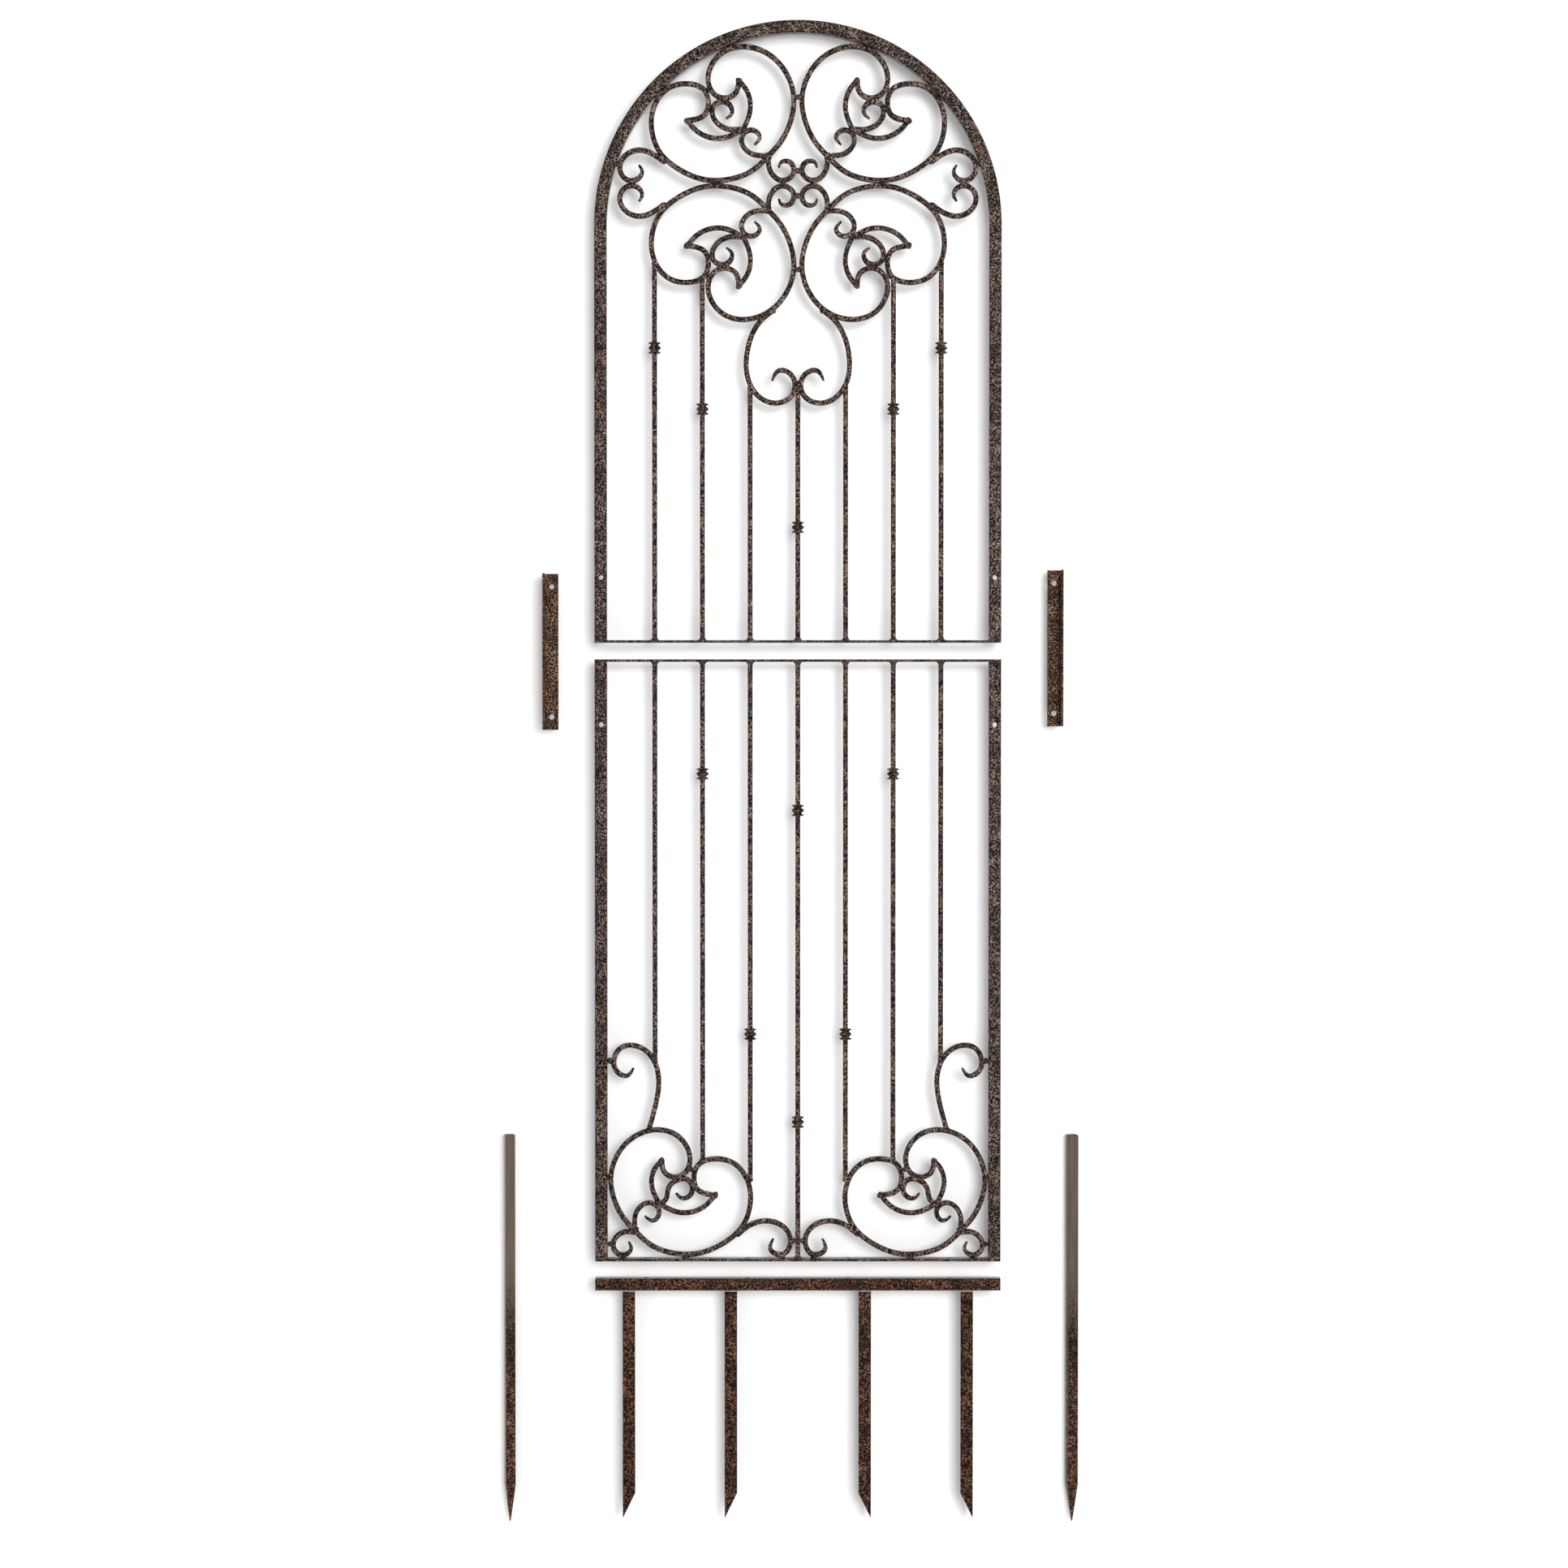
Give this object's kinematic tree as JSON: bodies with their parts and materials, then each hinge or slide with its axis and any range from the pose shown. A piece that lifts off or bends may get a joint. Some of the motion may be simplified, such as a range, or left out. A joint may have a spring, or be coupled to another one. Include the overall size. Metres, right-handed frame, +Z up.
{
  "type": "garden trellis arch",
  "caption": "Knock-down arched metal garden trellis with scrollwork panels, angle connectors, a legged ground anchor and pointed stakes, laid out as a kit.",
  "frame": {"origin": "middle of the underside of the anchor bar, on the soil line, in the middle plane of the panels", "axes": "+Z up, +X to the right seen from the front, the front faces -Y"},
  "size_m": [0.9423, 0.0418, 2.4465],
  "materials": {
    "bronze_coat": "hammered dark bronze powder coat",
    "connector_coat": "hammered red-brown powder coat",
    "anchor_coat": "hammered red-brown powder coat",
    "stake_coat": "hammered olive-brown powder coat"
  },
  "bodies": {
    "anchor": {"anchor_bar": "anchor_coat", "anchor_leg_1": "anchor_coat", "anchor_leg_2": "anchor_coat", "anchor_leg_3": "anchor_coat", "anchor_leg_4": "anchor_coat"},
    "lower_panel": {"lower_left_tube": "bronze_coat", "lower_right_tube": "bronze_coat", "lower_top_rail": "bronze_coat", "lower_bottom_rail": "bronze_coat", "lower_bar_1": "bronze_coat", "lower_bar_2": "bronze_coat", "lower_bar_3": "bronze_coat", "lower_bar_4": "bronze_coat", "lower_bar_5": "bronze_coat", "lower_bar_6": "bronze_coat", "lower_bar_7": "bronze_coat", "foot_left_wide_loop": "bronze_coat", "foot_left_narrow_loop": "bronze_coat", "foot_left_curls": "bronze_coat", "foot_right_wide_loop": "bronze_coat", "foot_right_narrow_loop": "bronze_coat", "foot_right_curls": "bronze_coat", "s_scroll_left": "bronze_coat", "s_scroll_right": "bronze_coat", "corner_curl_left": "bronze_coat", "corner_curl_right": "bronze_coat", "base_scroll_left": "bronze_coat", "base_scroll_right": "bronze_coat"},
    "upper_panel": {"upper_frame_tube": "bronze_coat", "upper_bottom_rail": "bronze_coat", "upper_bar_1": "bronze_coat", "upper_bar_2": "bronze_coat", "upper_bar_3": "bronze_coat", "upper_bar_4": "bronze_coat", "upper_bar_5": "bronze_coat", "upper_bar_6": "bronze_coat", "upper_bar_7": "bronze_coat", "crest_top_left_wide_loop": "bronze_coat", "crest_top_left_narrow_loop": "bronze_coat", "crest_top_left_curls": "bronze_coat", "crest_top_right_wide_loop": "bronze_coat", "crest_top_right_narrow_loop": "bronze_coat", "crest_top_right_curls": "bronze_coat", "crest_low_left_wide_loop": "bronze_coat", "crest_low_left_narrow_loop": "bronze_coat", "crest_low_left_curls": "bronze_coat", "crest_low_right_wide_loop": "bronze_coat", "crest_low_right_narrow_loop": "bronze_coat", "crest_low_right_curls": "bronze_coat", "side_scroll_top_left": "bronze_coat", "side_scroll_top_right": "bronze_coat", "side_scroll_low_left": "bronze_coat", "side_scroll_low_right": "bronze_coat", "centre_rosette": "bronze_coat", "heart_scroll_left": "bronze_coat", "heart_scroll_right": "bronze_coat"},
    "left_connector": {"left_connector": "connector_coat"},
    "right_connector": {"right_connector": "connector_coat"},
    "left_stake": {"left_stake": "stake_coat"},
    "right_stake": {"right_stake": "stake_coat"}
  },
  "joints": [
    {"name": "lower_panel_drop", "type": "slide", "parent": "anchor", "child": "lower_panel", "axis": [0, 0, -1], "range_m": [0, 0.0282]},
    {"name": "upper_panel_drop", "type": "slide", "parent": "lower_panel", "child": "upper_panel", "axis": [0, 0, -1], "range_m": [0, 0.0267]},
    {"name": "left_connector_slide", "type": "slide", "parent": "lower_panel", "child": "left_connector", "axis": [0.9884, 0, -0.1521], "range_m": [0, 0.08185]},
    {"name": "right_connector_slide", "type": "slide", "parent": "lower_panel", "child": "right_connector", "axis": [-0.983, 0, -0.1834], "range_m": [0, 0.09898]},
    {"name": "left_stake_slide", "type": "slide", "parent": "anchor", "child": "left_stake", "axis": [1, 0, 0], "range_m": [0, 0.1521]},
    {"name": "right_stake_slide", "type": "slide", "parent": "anchor", "child": "right_stake", "axis": [-1, 0, 0], "range_m": [0, 0.1296]}
  ]
}
